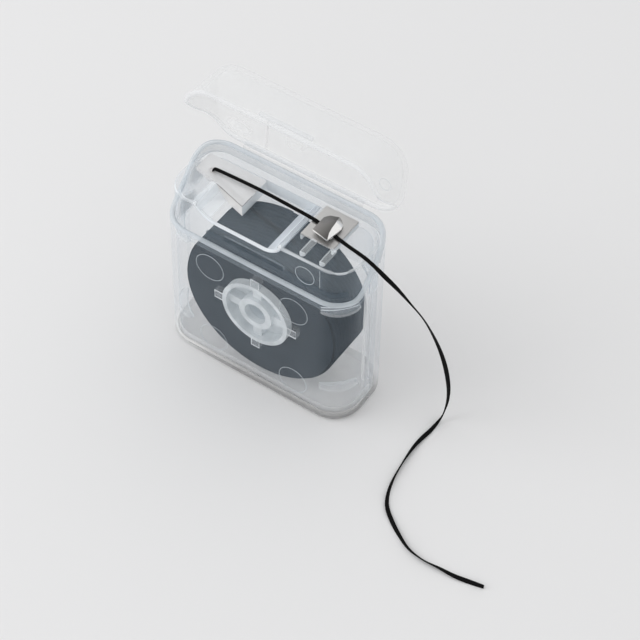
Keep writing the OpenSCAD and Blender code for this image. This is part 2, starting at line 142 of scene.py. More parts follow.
class Value:
    """A shader socket that can be used in an expression; each operator adds one Math node."""

    def __init__(self, tree, socket):
        self.tree, self.socket = tree, socket

    def _math(self, operation, *others):
        node = self.tree.nodes.new("ShaderNodeMath")
        node.operation = operation
        for slot, item in zip(node.inputs, others):
            if isinstance(item, Value):
                self.tree.links.new(item.socket, slot)
            else:
                slot.default_value = item
        return Value(self.tree, node.outputs[0])

    def __add__(self, other):
        return self._math("ADD", self, other)

    __radd__ = __add__

    def __sub__(self, other):
        return self._math("SUBTRACT", self, other)

    def __rsub__(self, other):
        return self._math("SUBTRACT", other, self)

    def __mul__(self, other):
        return self._math("MULTIPLY", self, other)

    __rmul__ = __mul__

    def __truediv__(self, other):
        return self._math("DIVIDE", self, other)

    def __pow__(self, other):
        return self._math("POWER", self, other)

    def sine(self):
        return self._math("SINE", self)

    def clamp(self):
        held = self._math("MAXIMUM", self, 0.0)
        return held._math("MINIMUM", held, 1.0)


class Finish:
    """A material under construction: one Principled shader and the nodes that feed it."""

    def __init__(self, name, **settings):
        self.material = bpy.data.materials.new(name)
        self.material.use_nodes = True
        self.tree = self.material.node_tree
        self.shader = self.tree.nodes["Principled BSDF"]
        for key, value in settings.items():
            self.shader.inputs[key.replace("_", " ")].default_value = value

    def node(self, kind, settings=None, numbered=None, **named):
        """Adds a node: its settings come first, then the value or link of each socket, by number or by
        name."""
        made = self.tree.nodes.new(kind)
        for key, setting in (settings or {}).items():
            setattr(made, key, setting)
        wanted = dict(numbered or {})
        wanted.update({key.replace("_", " "): value for key, value in named.items()})
        for key, value in wanted.items():
            if isinstance(value, Value):
                self.tree.links.new(value.socket, made.inputs[key])
            else:
                made.inputs[key].default_value = value
        return made

    def value(self, made, output=0):
        return Value(self.tree, made.outputs[output])

    def place(self):
        return self.value(self.node("ShaderNodeTexCoord"), "Object")

    def part(self, vector, axis):
        return self.value(self.node("ShaderNodeSeparateXYZ", Vector=vector), axis)

    def noise(self, scale, detail, vector=None):
        made = self.node("ShaderNodeTexNoise", Vector=vector or self.place(), Scale=scale, Detail=detail)
        return self.value(made, "Fac")

    def mix(self, factor, first, second):
        """Colour that goes from the first to the second as the factor goes from 0 to 1. The Mix node's
        colour sockets share their names with others, so they are numbered."""
        made = self.node("ShaderNodeMix", {"data_type": "RGBA"}, {0: factor, 6: first, 7: second})
        return self.value(made, 2)

    def feed(self, name, value):
        self.tree.links.new(value.socket, self.shader.inputs[name])
        return self

    def bump(self, height, strength, distance):
        made = self.node("ShaderNodeBump", Height=height, Strength=strength, Distance=distance)
        return self.feed("Normal", self.value(made, "Normal"))


# Meshes

crease = 35.0
bead_crease = 80.0
thread_crease = 60.0


def shade(mesh, angle=crease):
    """Smooth shading that breaks at edges sharper than the angle."""
    mesh.shade_smooth()
    mesh.set_sharp_from_angle(angle=math.radians(angle))


def points_of(mesh):
    """The mesh's points in millimetres, one row each."""
    flat = np.empty(len(mesh.vertices) * 3)
    mesh.vertices.foreach_get("co", flat)
    return flat.reshape(-1, 3) / MM


def put_points(mesh, points):
    """Moves the mesh's points to places in millimetres."""
    mesh.vertices.foreach_set("co", (points * MM).ravel())
    mesh.update()


def mesh_object(name, points, faces, material, angle=crease):
    """Object at the origin from points in millimetres and faces, shaded smooth below an angle."""
    mesh = bpy.data.meshes.new(name)
    mesh.from_pydata((np.asarray(points, float) * MM).tolist(), [], faces)
    mesh.materials.append(material)
    mesh.validate()
    piece = bpy.data.objects.new(name, mesh)
    bpy.context.scene.collection.objects.link(piece)
    shade(mesh, angle)
    return piece


def grid_faces(rows, cols, flip=False):
    """Quads of a rows by cols grid that closes along the columns."""
    i = np.arange(rows - 1)[:, None] * cols
    j = np.arange(cols)[None, :]
    k = (j + 1) % cols
    quads = np.stack([i + j, i + k, i + cols + k, i + cols + j], -1).reshape(-1, 4)
    return (quads[:, ::-1] if flip else quads).tolist()


def tube_faces(count, sides, flip=False):
    """Faces of a closed tube of count rings: the quads between the rings and a cap at each end."""
    caps = [list(range(sides))[::-1], [(count - 1) * sides + k for k in range(sides)]]
    return grid_faces(count, sides, flip=flip) + [cap[::-1] if flip else cap for cap in caps]


def plan(width, depth, radius, corner_steps=14, side_step=1.5):
    """Rounded rectangle: four quarter circles of one radius joined by straight sides. Gives its points
    and their outward directions, counter-clockwise."""
    points, outward = [], []
    quarter = np.linspace(0, np.pi / 2, corner_steps + 1)
    middle = [(1, 1, 0), (-1, 1, 1), (-1, -1, 2), (1, -1, 3)]
    for number, (sx, sy, turn) in enumerate(middle):
        centre = np.array([sx * (width / 2 - radius), sy * (depth / 2 - radius)])
        way = quarter + turn * np.pi / 2
        out = np.stack([np.cos(way), np.sin(way)], 1)
        points.append(centre + radius * out)
        outward.append(out)
        nx, ny, _ = middle[(number + 1) % 4]
        goal = np.array([nx * (width / 2 - radius), ny * (depth / 2 - radius)]) + radius * out[-1]
        count = max(int(np.linalg.norm(goal - points[-1][-1]) / side_step), 1)
        share = np.linspace(0, 1, count + 1)[1:-1, None]
        points.append(points[-1][-1] * (1 - share) + goal * share)
        outward.append(np.repeat(out[-1:], count - 1, 0))
    return np.concatenate(points), np.concatenate(outward)


def rim_height(y):
    """Front rim, then half a cosine wave up to the back rim, then level."""
    start, end = front_y + rise_front, back_y - rise_back
    share = np.clip((y - start) / (end - start), 0, 1)
    return front_h + (case_h - front_h) * (1 - np.cos(np.pi * share)) / 2


def arc(centre, radius, start, end, steps):
    """Points of a circle's arc in the profile's plane, from one angle to another, in degrees."""
    way = np.radians(np.linspace(start, end, steps + 1))
    return np.stack([centre[0] + radius * np.cos(way), centre[1] + radius * np.sin(way)], 1)


def cup(name, width, depth, radius, thick, base_t, round_r, rim, materials):
    """Open cup: a profile of inset and height, carried round a rounded rectangle. The profile goes in
    from the base's middle to the lower rounding, up the outside to the rim, over it in a half circle and
    down the inside. Above the rounding the height is stretched so that the rim follows a function of
    depth. The materials are those of the walls, the rim, the base and the lower rounding."""
    wall_rows, round_steps, rim_steps, inner_steps = 18, 8, 8, 4
    inner_r, middle = 0.3, radius - 0.1
    points, outward = plan(width, depth, radius)
    ring = len(points)
    even = np.ones(ring)
    top = rim(points[:, 1]) - thick / 2
    inner_z = base_t + inner_r
    lift = np.linspace(0, 1, wall_rows + 2)[1:-1]
    low = np.concatenate([[(middle, 0.0)], arc((round_r, round_r), round_r, 270, 180, round_steps)])
    over = arc((thick / 2, 0), thick / 2, 180, 0, rim_steps)
    inner = arc((thick + inner_r, inner_z), inner_r, 180, 270, inner_steps)
    rows = [(inset * even, z * even) for inset, z in low]
    rows += [(0 * even, round_r + (top - round_r) * share) for share in lift]
    rows += [(inset * even, top + z) for inset, z in over]
    rows += [(thick * even, inner_z + (top - inner_z) * share) for share in lift[::-1]]
    rows += [(inset * even, z * even) for inset, z in inner]
    rows.append((middle * even, base_t * even))
    inset, height = np.array(rows).transpose(1, 0, 2)
    flat = points[None] - inset[..., None] * outward[None]
    shape = np.concatenate([flat, height[..., None]], 2)
    faces = tube_faces(len(rows), ring)
    piece = mesh_object(name, shape.reshape(-1, 3), faces, materials[0])
    for material in materials[1:]:
        piece.data.materials.append(material)

    # Bands of faces: the rim, the base below and above, and the lower rounding
    rim_start = len(low) + wall_rows
    zone = np.zeros(len(faces), np.int32)
    zone[rim_start * ring:(rim_start + rim_steps) * ring] = 1
    zone[:len(low) * ring] = 2
    zone[-(inner_steps + 2) * ring:] = 2
    zone[ring:len(low) * ring] = 3
    piece.data.polygons.foreach_set("material_index", zone)
    return piece


def part_at(piece, y, keep_front):
    """Cuts a closed piece by an upright plane across the depth and closes the cut."""
    mesh = piece.data
    work = bmesh.new()
    work.from_mesh(mesh)
    everything = work.verts[:] + work.edges[:] + work.faces[:]
    cut = bmesh.ops.bisect_plane(work, geom=everything, plane_co=(0, y * MM, 0), plane_no=(0, 1, 0),
                                 clear_outer=keep_front, clear_inner=not keep_front)
    edges = [item for item in cut["geom_cut"] if isinstance(item, bmesh.types.BMEdge)]
    bmesh.ops.triangle_fill(work, use_beauty=True, edges=edges)
    bmesh.ops.recalc_face_normals(work, faces=work.faces[:])
    work.to_mesh(mesh)
    work.free()
    shade(mesh)
    return piece


def opened(points):
    """Turns points of the closed lid about the hinge line to where the lid stands open."""
    turn = math.radians(lid_open)
    y, z = points[:, 1] - hinge_y, points[:, 2] - hinge_z
    return np.stack([points[:, 0], hinge_y + y * math.cos(turn) + z * math.sin(turn),
                     hinge_z - y * math.sin(turn) + z * math.cos(turn)], 1)


def unit(v):
    """Each row divided by its length."""
    return v / np.linalg.norm(v, axis=-1, keepdims=True)


def outward_faces(piece):
    """Joins points that coincide and turns every face outward."""
    join_within = 1e-6
    work = bmesh.new()
    work.from_mesh(piece.data)
    bmesh.ops.remove_doubles(work, verts=work.verts[:], dist=join_within)
    bmesh.ops.recalc_face_normals(work, faces=work.faces[:])
    work.to_mesh(piece.data)
    work.free()
    return piece


def prism(name, outline, axis, low, high, material):
    """Outline in two of the directions, carried straight along the third from low to high."""
    outline = np.asarray(outline, float)
    count = len(outline)
    ends = [np.insert(outline, axis, level, axis=1) for level in (low, high)]
    walls = [[k, (k + 1) % count, (k + 1) % count + count, k + count] for k in range(count)]
    faces = [list(range(count))[::-1], list(range(count, 2 * count))] + walls
    return outward_faces(mesh_object(name, np.concatenate(ends), faces, material))


def bead_line(name, points, radius, material, closed=False, sides=8):
    """Thin round bead along a path: a small circle at each point, square to the path."""
    points = np.asarray(points, float)
    if closed:
        heading = unit(np.roll(points, -1, 0) - np.roll(points, 1, 0))
    else:
        heading = unit(np.gradient(points, axis=0))
    slanted = np.array([0.31, 0.23, 0.92])
    side = unit(np.cross(heading, slanted))
    other = np.cross(heading, side)
    way = np.arange(sides) * 2 * np.pi / sides
    ring = (points[:, None] + radius * (side[:, None] * np.cos(way)[None, :, None]
                                        + other[:, None] * np.sin(way)[None, :, None]))
    if closed:
        ring = np.concatenate([ring, ring[:1]])
        faces = grid_faces(len(ring), sides)
    else:
        faces = tube_faces(len(ring), sides)
    return outward_faces(mesh_object(name, ring.reshape(-1, 3), faces, material, bead_crease))


def circle(centre, radius, steps, level, axis):
    """Points of a circle square to one of the directions, at a level along it."""
    way = np.linspace(0, 2 * np.pi, steps, endpoint=False)
    flat = np.stack([centre[0] + radius * np.cos(way), centre[1] + radius * np.sin(way)], 1)
    return np.insert(flat, axis, level, axis=1)


def on_case(piece):
    """Clear moulded piece that stays with the case."""
    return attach(piece, "case")


def wall_band(name, outline, take, inset, low, high, material, band_t=0.5):
    """Curved strip inside an upright wall, along part of its rounded rectangle. Its section is a box
    between two insets and two heights, and the heights may change with the depth."""
    points, outward = outline[0][take], outline[1][take]
    outer = points - inset * outward
    inner = points - (inset + band_t) * outward
    lower, upper = [np.broadcast_to(level(outer[:, 1]) if callable(level) else level, len(take))
                    for level in (low, high)]
    corners = [(outer, lower), (outer, upper), (inner, upper), (inner, lower)]
    shape = np.stack([np.column_stack(corner) for corner in corners], 1)
    faces = tube_faces(len(take), 4)
    return on_case(outward_faces(mesh_object(name, shape.reshape(-1, 3), faces, material)))


def nearest(outline, x, y):
    """Number of the outline's point nearest to a place."""
    return int(np.argmin(np.hypot(outline[0][:, 0] - x, outline[0][:, 1] - y)))


def stretch(outline, start, end):
    """Numbers of the outline's points from one to another, past the outline's start if need be."""
    return np.arange(start, end + 1 if end >= start else end + 1 + len(outline[0])) % len(outline[0])


def turned(name, profile, material, steps=64):
    """Profile of places along the depth and radii, turned about the spool's axis."""
    way = np.linspace(0, 2 * np.pi, steps, endpoint=False)
    y, radius = np.asarray(profile, float).T[:, :, None]
    x = radius * np.sin(way)
    z = radius * np.cos(way) + spool_z
    shape = np.stack([x, np.broadcast_to(y, x.shape), z], -1)
    return outward_faces(mesh_object(name, shape.reshape(-1, 3), grid_faces(len(profile), steps), material))


# Finishes

plastic_ior = 1.49


def clear_finish(name, tint, thin, edge, power, gloss=0.35, painted_glow=0.0):
    """Clear moulded plastic: nearly see-through where it faces the eye, denser where it turns away, with
    faint flow marks. The density is a small part, which the flow marks vary, plus a power of the facing
    weight. A glow, where given, is painted light: the plastic shines a little of its own."""
    flow_scale, flow_share, flow_depth = 140.0, 0.8, 0.0004
    made = Finish(name, Base_Color=tint, Roughness=0.16, IOR=plastic_ior, Specular_IOR_Level=gloss,
                  Emission_Color=(0.9, 0.9, 0.9, 1), Emission_Strength=painted_glow)
    facing = made.value(made.node("ShaderNodeLayerWeight", Blend=0.5), "Facing")
    marks = made.noise(flow_scale, 2.0)
    varied = thin * (1 - flow_share / 2 + marks * flow_share)
    made.feed("Alpha", (varied + facing ** power * edge).clamp())
    return made.bump(marks, 0.08, flow_depth).material


def soft_patch(name, tint, strength, centre, reach, least=0.0):
    """See-through patch of one colour that thins out evenly from a centre, down to the least: one minus the
    squared distance, where each direction is measured against a reach of its own. Its uses here are painted
    highlights and painted shade, and the lid's mould line."""
    made = Finish(name, Base_Color=tint, Roughness=0.3, Specular_IOR_Level=0.1)
    place = made.place()
    far = 0.0
    for axis, middle, size in zip("XYZ", centre, reach):
        step = (made.part(place, axis) - middle * MM) / (size * MM)
        far = step * step + far
    made.feed("Alpha", (1 - far).clamp() * (strength - least) + least)
    return made.material


# Each clear finish has its tint, its density face on, what the edge adds, how sharply that rises, and its
# gloss and painted glow where they aren't the usual ones
case_clear = clear_finish("case_clear", (0.72, 0.8, 0.88, 1), 0.022, 0.34, 3.0)
case_base = clear_finish("case_base_clear", (0.8, 0.81, 0.82, 1), 0.42, 0.4, 2.0)
lid_clear = clear_finish("lid_clear", (0.86, 0.87, 0.875, 1), 0.1, 0.3, 2.5)
lid_roof_clear = clear_finish("lid_roof_clear", (0.86, 0.87, 0.875, 1), 0.14, 0.3, 2.5)
insert_clear = clear_finish("insert_clear", (0.68, 0.78, 0.87, 1), 0.07, 0.3, 3.0)
rim_clear = clear_finish("rim_clear", (0.6, 0.65, 0.69, 1), 0.68, 0.25, 2.0, 0.2)
lid_rim = clear_finish("lid_rim_clear", (0.86, 0.88, 0.9, 1), 0.3, 0.3, 2.0)
insert_edge = clear_finish("insert_edge_clear", (0.72, 0.76, 0.79, 1), 0.4, 0.3, 2.0, 0.1)
# Upright walls of the scoop and the ribs' ends: lighter and denser, a painted highlight
painted_highlight_wall = clear_finish("painted_highlight_wall_clear", (0.84, 0.89, 0.93, 1), 0.55, 0.4, 2.0)
# Lines of painted highlight along edges
painted_highlight_edge = clear_finish("painted_highlight_edge_clear", (0.92, 0.95, 0.98, 1), 0.8, 0.2, 2.0)
faint_edge = clear_finish("faint_edge_clear", (0.72, 0.78, 0.82, 1), 0.36, 0.2, 2.0, 0.1)
# Dark lines of painted shade
painted_shade_edge = clear_finish("painted_shade_edge_clear", (0.32, 0.3, 0.29, 1), 0.34, 0.2, 2.0, 0.1)
# Dark strip of painted shade in the neck
painted_neck_shade = clear_finish("painted_neck_shade_clear", (0.05, 0.075, 0.1, 1), 0.4, 0.1, 2.0, 0.1)
# Fainter light layer under the scoop's left end, with a painted glow
haze = clear_finish("painted_light_haze", (0.8, 0.83, 0.86, 1), 0.3, 0.2, 2.0, 0.1, 0.2)
# Light line of painted highlight along the foot
painted_foot_highlight = clear_finish("foot_painted_highlight", (0.86, 0.86, 0.855, 1), 0.7, 0.2, 2.0, 0.2)
# Darker lower rounding in front, a painted shade that fades out from its middle
painted_shade_rounding = soft_patch("lower_rounding_painted_shade", (0.4, 0.4, 0.4, 1), 0.66, (14, -8, 0.6), (29, 16, 6), 0.04)
# Greyish band of painted shade inside the back wall
painted_shade_band = clear_finish("back_wall_painted_shade", (0.66, 0.7, 0.73, 1), 0.26, 0.15, 2.0, 0.1)
rib_clear = clear_finish("rib_clear", (0.85, 0.9, 0.92, 1), 0.22, 0.35, 2.0, 0.2)
frosted = clear_finish("frosted_deck", (0.86, 0.85, 0.845, 1), 0.6, 0.2, 2.0, 0.1)
# Light layer under the scoop's right end, a painted highlight
painted_highlight_layer = clear_finish("scoop_right_painted_highlight", (0.86, 0.9, 0.95, 1), 0.5, 0.2, 2.0, 0.2)
lug_clear = clear_finish("lug_clear", (0.84, 0.88, 0.91, 1), 0.14, 0.3, 2.0)
web_clear = clear_finish("web_clear", (0.84, 0.88, 0.91, 1), 0.12, 0.5, 2.0)


def milky_finish():
    """Milky translucent plastic: a soft cloud varies its tone and its density, over a fine grain, and a
    faint painted glow lifts its shaded parts.
    """
    made = Finish("milky_core", Roughness=0.35, IOR=plastic_ior, Emission_Strength=0.1,
                  Emission_Color=(0.75, 0.8, 0.82, 1))
    cloud = made.noise(260.0, 2.0)
    made.feed("Base Color", made.mix(cloud.clamp(), (0.36, 0.39, 0.41, 1), (0.74, 0.77, 0.79, 1)))
    made.feed("Alpha", (0.74 + cloud * 0.36).clamp())
    return made.bump(made.noise(500.0, 3.0), 0.2, 0.0002).material


def brushed(name, base, low, spread, far=None, start=0.0, end=1.0):
    """Stainless sheet: fine lines along one way change its roughness and raise it a little. Where a far
    tone is given, the tone goes over to it across the width between two places."""
    made = Finish(name, Base_Color=base, Metallic=1.0)
    if far:
        share = (made.part(made.place(), "X") - start * MM) / ((end - start) * MM)
        made.feed("Base Color", made.mix(share.clamp(), base, far))
    grain = made.node("ShaderNodeMapping", Vector=made.place(), Scale=(1.0, 0.06, 1.0))
    lines = made.noise(9000.0, 2.0, made.value(grain))
    made.feed("Roughness", low + lines * spread)
    return made.bump(lines, 0.15, 0.00005).material


# The cutter's steel, a darker copy for the tooth's broad face, a painted shade, and a lighter copy for its
# ground face, a painted highlight. The broad face darkens further across its width, a painted reflection;
# the plate darkens a little towards the right.
steel = brushed("cutter_steel", (0.64, 0.632, 0.62, 1), 0.34, 0.2, (0.57, 0.56, 0.55, 1), 7.0, 15.0)
steel_painted_shade = brushed("tooth_broad_face_painted_shade", (0.34, 0.328, 0.318, 1), 0.3, 0.2, (0.13, 0.126, 0.122, 1),
                     9.3, 12.6)
steel_painted_highlight = brushed("tooth_ground_face_painted_highlight", (0.99, 0.98, 0.965, 1), 0.16, 0.1)


def wound_finish(name, radial):
    """Close-wound dark floss: faint waves of tone from turn to turn, across the depth on the outside of
    the roll, and from the middle outward on its flat sides."""
    turn_pitch = 1.3
    made = Finish(name, Roughness=0.7, Specular_IOR_Level=0.0)
    place = made.place()
    drift = made.noise(60.0, 2.0) * 2.0
    if radial:
        x = made.part(place, "X")
        z = made.part(place, "Z") - spool_z * MM
        across = (x * x + z * z) ** 0.5
    else:
        across = made.part(place, "Y")
    lines = (across * (2 * math.pi / (turn_pitch * MM)) + drift).sine()
    cloud = made.noise(90.0, 2.0)
    share = (lines * 0.1 + cloud * 0.6 + 0.2).clamp()
    made.feed("Base Color", made.mix(share, (0.016, 0.023, 0.031, 1), (0.025, 0.036, 0.048, 1)))
    return made.material


def strand_finish():
    """Black waxed thread: fine fibres vary its tone and raise it a little."""
    made = Finish("floss_strand", Roughness=0.65, Specular_IOR_Level=0.06)
    fibres = made.noise(4500.0, 3.0)
    made.feed("Base Color", made.mix(fibres.clamp(), (0.002, 0.002, 0.002, 1), (0.007, 0.007, 0.0075, 1)))
    return made.bump(fibres, 0.4, 0.00008).material


milky = milky_finish()
wound = wound_finish("wound_floss", False)
wound_side = wound_finish("wound_floss_side", True)
strand = strand_finish()


# Case

def whole_case(name):
    """The whole case as one cup, which a half is then cut from."""
    # The lower rounding takes a painted shade
    return cup(name, case_w, case_d, corner_r, wall, floor_t, edge_r, rim_height,
               [case_clear, rim_clear, case_base, painted_shade_rounding])


seam_gap = 0.03
front = part_at(whole_case("case_front"), seam_y, True)
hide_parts("front_shell")
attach(front, "case")
rear = part_at(whole_case("case_rear"), seam_y + seam_gap, False)
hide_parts("rear_shell")
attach(rear, "case")


# Lid

def lid_cup():
    """The lid is a cup of the same plan turned upside down, with its rim a little above the case's rim."""
    piece = cup("flip_lid", case_w, case_d, corner_r, lid_wall, lid_roof, lid_edge_r,
                lambda y: lid_top - rim_height(y) - lid_gap,
                [lid_clear, lid_rim, lid_roof_clear, lid_roof_clear])
    mesh = piece.data
    points = points_of(mesh)
    points[:, 2] = lid_top - points[:, 2]
    put_points(mesh, opened(points))
    mesh.flip_normals()
    shade(mesh)
    return piece


lid = lid_cup()
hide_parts("lid")
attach(lid, "lid")


# Deck insert

def merged_copy(node, name, materials, choose):
    """Copy of a CAD node with its loose triangles joined; choose gives each face its material number from
    the face's centre in millimetres and its outward direction. Faces square to an axis are shaded
    flat."""
    join_within, square = 2e-6, 0.9999
    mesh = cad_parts[node].data.copy()
    mesh.name = name
    work = bmesh.new()
    work.from_mesh(mesh)
    bmesh.ops.remove_doubles(work, verts=work.verts[:], dist=join_within)
    work.to_mesh(mesh)
    work.free()
    mesh.materials.clear()
    for material in materials:
        mesh.materials.append(material)
    count = len(mesh.polygons)
    centre, normal = np.empty(count * 3), np.empty(count * 3)
    mesh.polygons.foreach_get("center", centre)
    mesh.polygons.foreach_get("normal", normal)
    centre, normal = centre.reshape(-1, 3) / MM, normal.reshape(-1, 3)
    mesh.polygons.foreach_set("material_index", choose(centre, normal).astype(np.int32))
    shade(mesh)
    mesh.polygons.foreach_set("use_smooth", np.abs(normal).max(1) < square)
    piece = bpy.data.objects.new(name, mesh)
    bpy.context.scene.collection.objects.link(piece)
    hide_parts(node)
    return piece


def insert_zones(centre, normal):
    """1 on the rounded upper edge of the collar, 2 on the upright walls of the scoop and the ribs' ends,
    3 in the thread hole and on the guide block's walls but for its right one, 4 on the ribs beside the
    cutter, 0 elsewhere. Number 2 gets a lighter, denser finish, a painted highlight."""
    hollow_x, hollow_y, hollow_z = 20.2, 6.9, 39.4
    rounding, rib_half, hole_reach = 0.65, 0.65, 1.8
    rib_back, rib_front = -2, -6.2
    x, y, z = centre.T
    upward = normal[:, 2]
    upright = np.abs(upward)
    inside = (np.abs(x) < hollow_x) & (np.abs(y) < hollow_y)
    edge = (z > deck_z - rounding) & ~inside & (upward > 0.1) & (upward < 0.97)
    steep = (z > hollow_z) & inside & (upright < 0.75)
    near_block = (x < block_x + 0.8) & (y > block_y1 - 0.4)
    block = steep & near_block & (upright < 0.2) & (normal[:, 0] < 0.7)
    hole = (np.hypot(x - hole_x, y - hole_y) < hole_reach) & (z < deck_z - 0.1)
    off_rib = np.abs(np.abs(x - cutter_x - rib_shift) - rib_pitch / 2)
    rib = (off_rib < rib_half) & (z > deck_z + 0.02) & (y < rib_back)
    return np.select([rib & (y < rib_front), rib, block | hole, steep, edge], [2, 4, 3, 2, 1])


insert = merged_copy("deck_insert", "deck_insert_clear",
                     [insert_clear, insert_edge, painted_highlight_wall, frosted, rib_clear], insert_zones)
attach(insert, "case")


scoop_front = -7.2


def scoop_profile(grow):
    """Section of the finger scoop across the width: an arc, a flat bottom and a smaller arc. Each arc
    ends where it meets the deck, so its angle's cosine is the height left below the deck over the
    radius."""
    ends = []
    for middle, radius, way in ((scoop_x0, scoop_left_r, -1), (scoop_x1, scoop_right_r, 1)):
        reach = math.degrees(math.acos((radius - deck_z + scoop_z) / (radius + grow)))
        start, end = (270 - reach, 270) if way < 0 else (270, 270 + reach)
        ends.append(arc((middle, scoop_z + radius), radius + grow, start, end, 12))
    return np.concatenate(ends)


def scoop_layer(name, part, back, material):
    """Layer under one end of the scoop, from just below its surface down to near its underside."""
    upper, under = scoop_profile(0.1)[part], scoop_profile(0.9)[part]
    on_case(prism(name, np.concatenate([upper, under[::-1]]), 1, scoop_front, back, material))


# Light bead along the scoop's front edge, a painted highlight
front_edge = np.insert(scoop_profile(0.42), 1, scoop_front - 0.05, axis=1)
on_case(bead_line("scoop_front_edge", front_edge, 0.36, painted_highlight_edge))
# Layers under the ends of the scoop: on the right a painted highlight, on the left a fainter one with a
# painted glow
scoop_layer("scoop_right_wall", slice(-11, None), 5.5, painted_highlight_layer)
scoop_layer("scoop_left_wall", slice(0, 9), block_y0 - 0.2, haze)

# Painted highlights inside the insert's left walls, a band of painted shade inside the back wall, and a
# dark strip of painted shade in the neck
insert_plan = plan(insert_w, insert_d, insert_r)
case_plan = plan(case_w, case_d, corner_r)
left_side = nearest(insert_plan, -insert_w / 2, -2.2)
near_white = (0.98, 0.98, 0.98, 1)
# Near-white patches of painted highlight
corner_painted_glint = soft_patch("left_corner_painted_glint", near_white, 0.95, (-20.9, -1.6, 33.6), (2.4, 4.0, 3.0))
painted_light_haze = soft_patch("left_wall_painted_glint", near_white, 0.9, (-21.1, 2.4, 39.2), (2.0, 3.0, 3.4))
wall_band("left_corner_painted_glint", insert_plan, stretch(insert_plan, left_side - 4, left_side + 6), 0.2,
          insert_z + 0.1, 37.5, corner_painted_glint)
wall_band("left_wall_painted_glint", insert_plan, stretch(insert_plan, left_side - 9, left_side), 0.2,
          35.0, deck_z - 0.4, painted_light_haze)
# Band of painted shade inside the back wall, below its rim
back_run = stretch(case_plan, nearest(case_plan, case_w / 2, 3.2), nearest(case_plan, -case_w / 2, 3.2))
wall_band("back_wall_painted_shade", case_plan, back_run, 0.3,
          lambda y: rim_height(y) - 2.9, lambda y: rim_height(y) - 0.6, painted_shade_band)
# Strip of painted shade inside the insert's front wall
neck_run = stretch(insert_plan, nearest(insert_plan, -12.0, -insert_d / 2),
                   nearest(insert_plan, 20.2, -5.2))
wall_band("painted_neck_shade", insert_plan, neck_run, 0.2, front_h + 0.5, front_h + 1.6, painted_neck_shade)

# The guide block's frosted inside, and a dark bead of painted shade along its upper edge
block_left, block_back, slant_x = -19.4, 5.3, -14.4
on_case(prism("guide_block_haze",
              [(block_x - 0.05, block_y1 + 0.1), (block_x - 0.05, block_back), (block_left, block_back),
               (block_left, 0.6), (slant_x, block_y0 + 0.1)], 2, deck_z - 0.95, deck_z - 0.1, frosted))
block_edge = [(-13.2, -0.87), (-11.6, -1.33), (-8.7, -2.17), (block_x, block_y1), (block_x, -2),
              (block_x, 0.3)]
on_case(bead_line("guide_block_edge", np.insert(block_edge, 2, deck_z - 0.05, axis=1), 0.08, painted_shade_edge))


# Corner webs and moulding marks

line_r = 0.07


def corner_web(name, side, back, z, edge_material):
    """Crescent across a corner: between the case's inner corner arc and an arc of larger radius, whose
    middles lie on the corner's diagonal. Its inner edge is a line of its own, lighter than its flat faces,
    and on the right upper web a painted highlight."""
    in_wall, least_width, arc_points = 0.15, 0.02, 25
    radius = corner_r - wall
    middle = np.array([case_w / 2 - corner_r, -(case_d / 2 - corner_r)])
    reach = (web_r + web_w - radius) / math.sqrt(2)
    big = middle + np.array([-reach, reach])
    way = np.radians(np.linspace(-90, 0, arc_points))
    outer = middle + (radius + in_wall) * np.stack([np.cos(way), np.sin(way)], 1)
    inner = big + web_r * unit(outer - big)
    within = np.linalg.norm(inner - middle, axis=1) < radius + in_wall
    inner = np.where(within[:, None], inner, outer)
    wide = np.linalg.norm(inner - outer, axis=1) > least_width
    flip = np.array([side, back])
    outline = np.concatenate([outer[wide], inner[wide][::-1]]) * flip
    on_case(prism(name, outline, 2, z, z + web_t, web_clear))
    for level in (z, z + web_t):
        edge = np.insert(inner[wide] * flip, 2, level, axis=1)
        on_case(bead_line(name + "_edge_" + str(round(level * 10)), edge, line_r, edge_material))


high_web_z = insert_z - web_t
for side, word in ((-1, "left"), (1, "right")):
    corner_web("upper_web_" + word, side, 1, high_web_z, painted_highlight_edge if side > 0 else faint_edge)
    corner_web("lower_web_" + word, side, 1, low_web_z, faint_edge)
    corner_web("back_web_" + word, side, -1, high_web_z, faint_edge)

# Rings left by ejector pins, and a fine mould line in the neck
pin_places = [(-10.5, 27.0), (9.5, 27.0), (-10.0, 6.0), (9.5, 6.0)]
for number, middle in enumerate(pin_places):
    ring = circle(middle, 3.3, 64, front_y + wall, 1)
    on_case(bead_line("pin_mark_" + str(number + 1), ring, line_r, faint_edge, True))
ring = circle((12.0, 39.0), 2.15, 64, -insert_d / 2, 1)
on_case(bead_line("neck_pin_mark", ring, line_r, faint_edge, True))
mould_line = [(15.4, -7.58, 42.6), (15.42, -7.58, 40.0), (15.45, -7.58, 37.6)]
on_case(bead_line("neck_mould_line", mould_line, 0.06, faint_edge))


# Spool and cutter

def spool_post():
    """Hollow post with a rounded tip and a shoulder at its foot, which reaches a little into the back
    wall."""
    axis, round_r, foot_y = 0.001, 0.15, back_y - wall + 0.05
    round_y = tip_y + round_r
    shoulder_y, shoulder_r = core_y1 + core_back_gap, post_r + shoulder_w
    profile = [(core_y1, axis), (core_y1, post_bore_r), (round_y, post_bore_r),
               (tip_y, post_bore_r + round_r), (tip_y, post_r - round_r), (round_y, post_r),
               (shoulder_y, post_r), (shoulder_y, shoulder_r), (foot_y, shoulder_r), (foot_y, axis)]
    return on_case(turned("spool_post", profile, insert_clear))


spool_post()


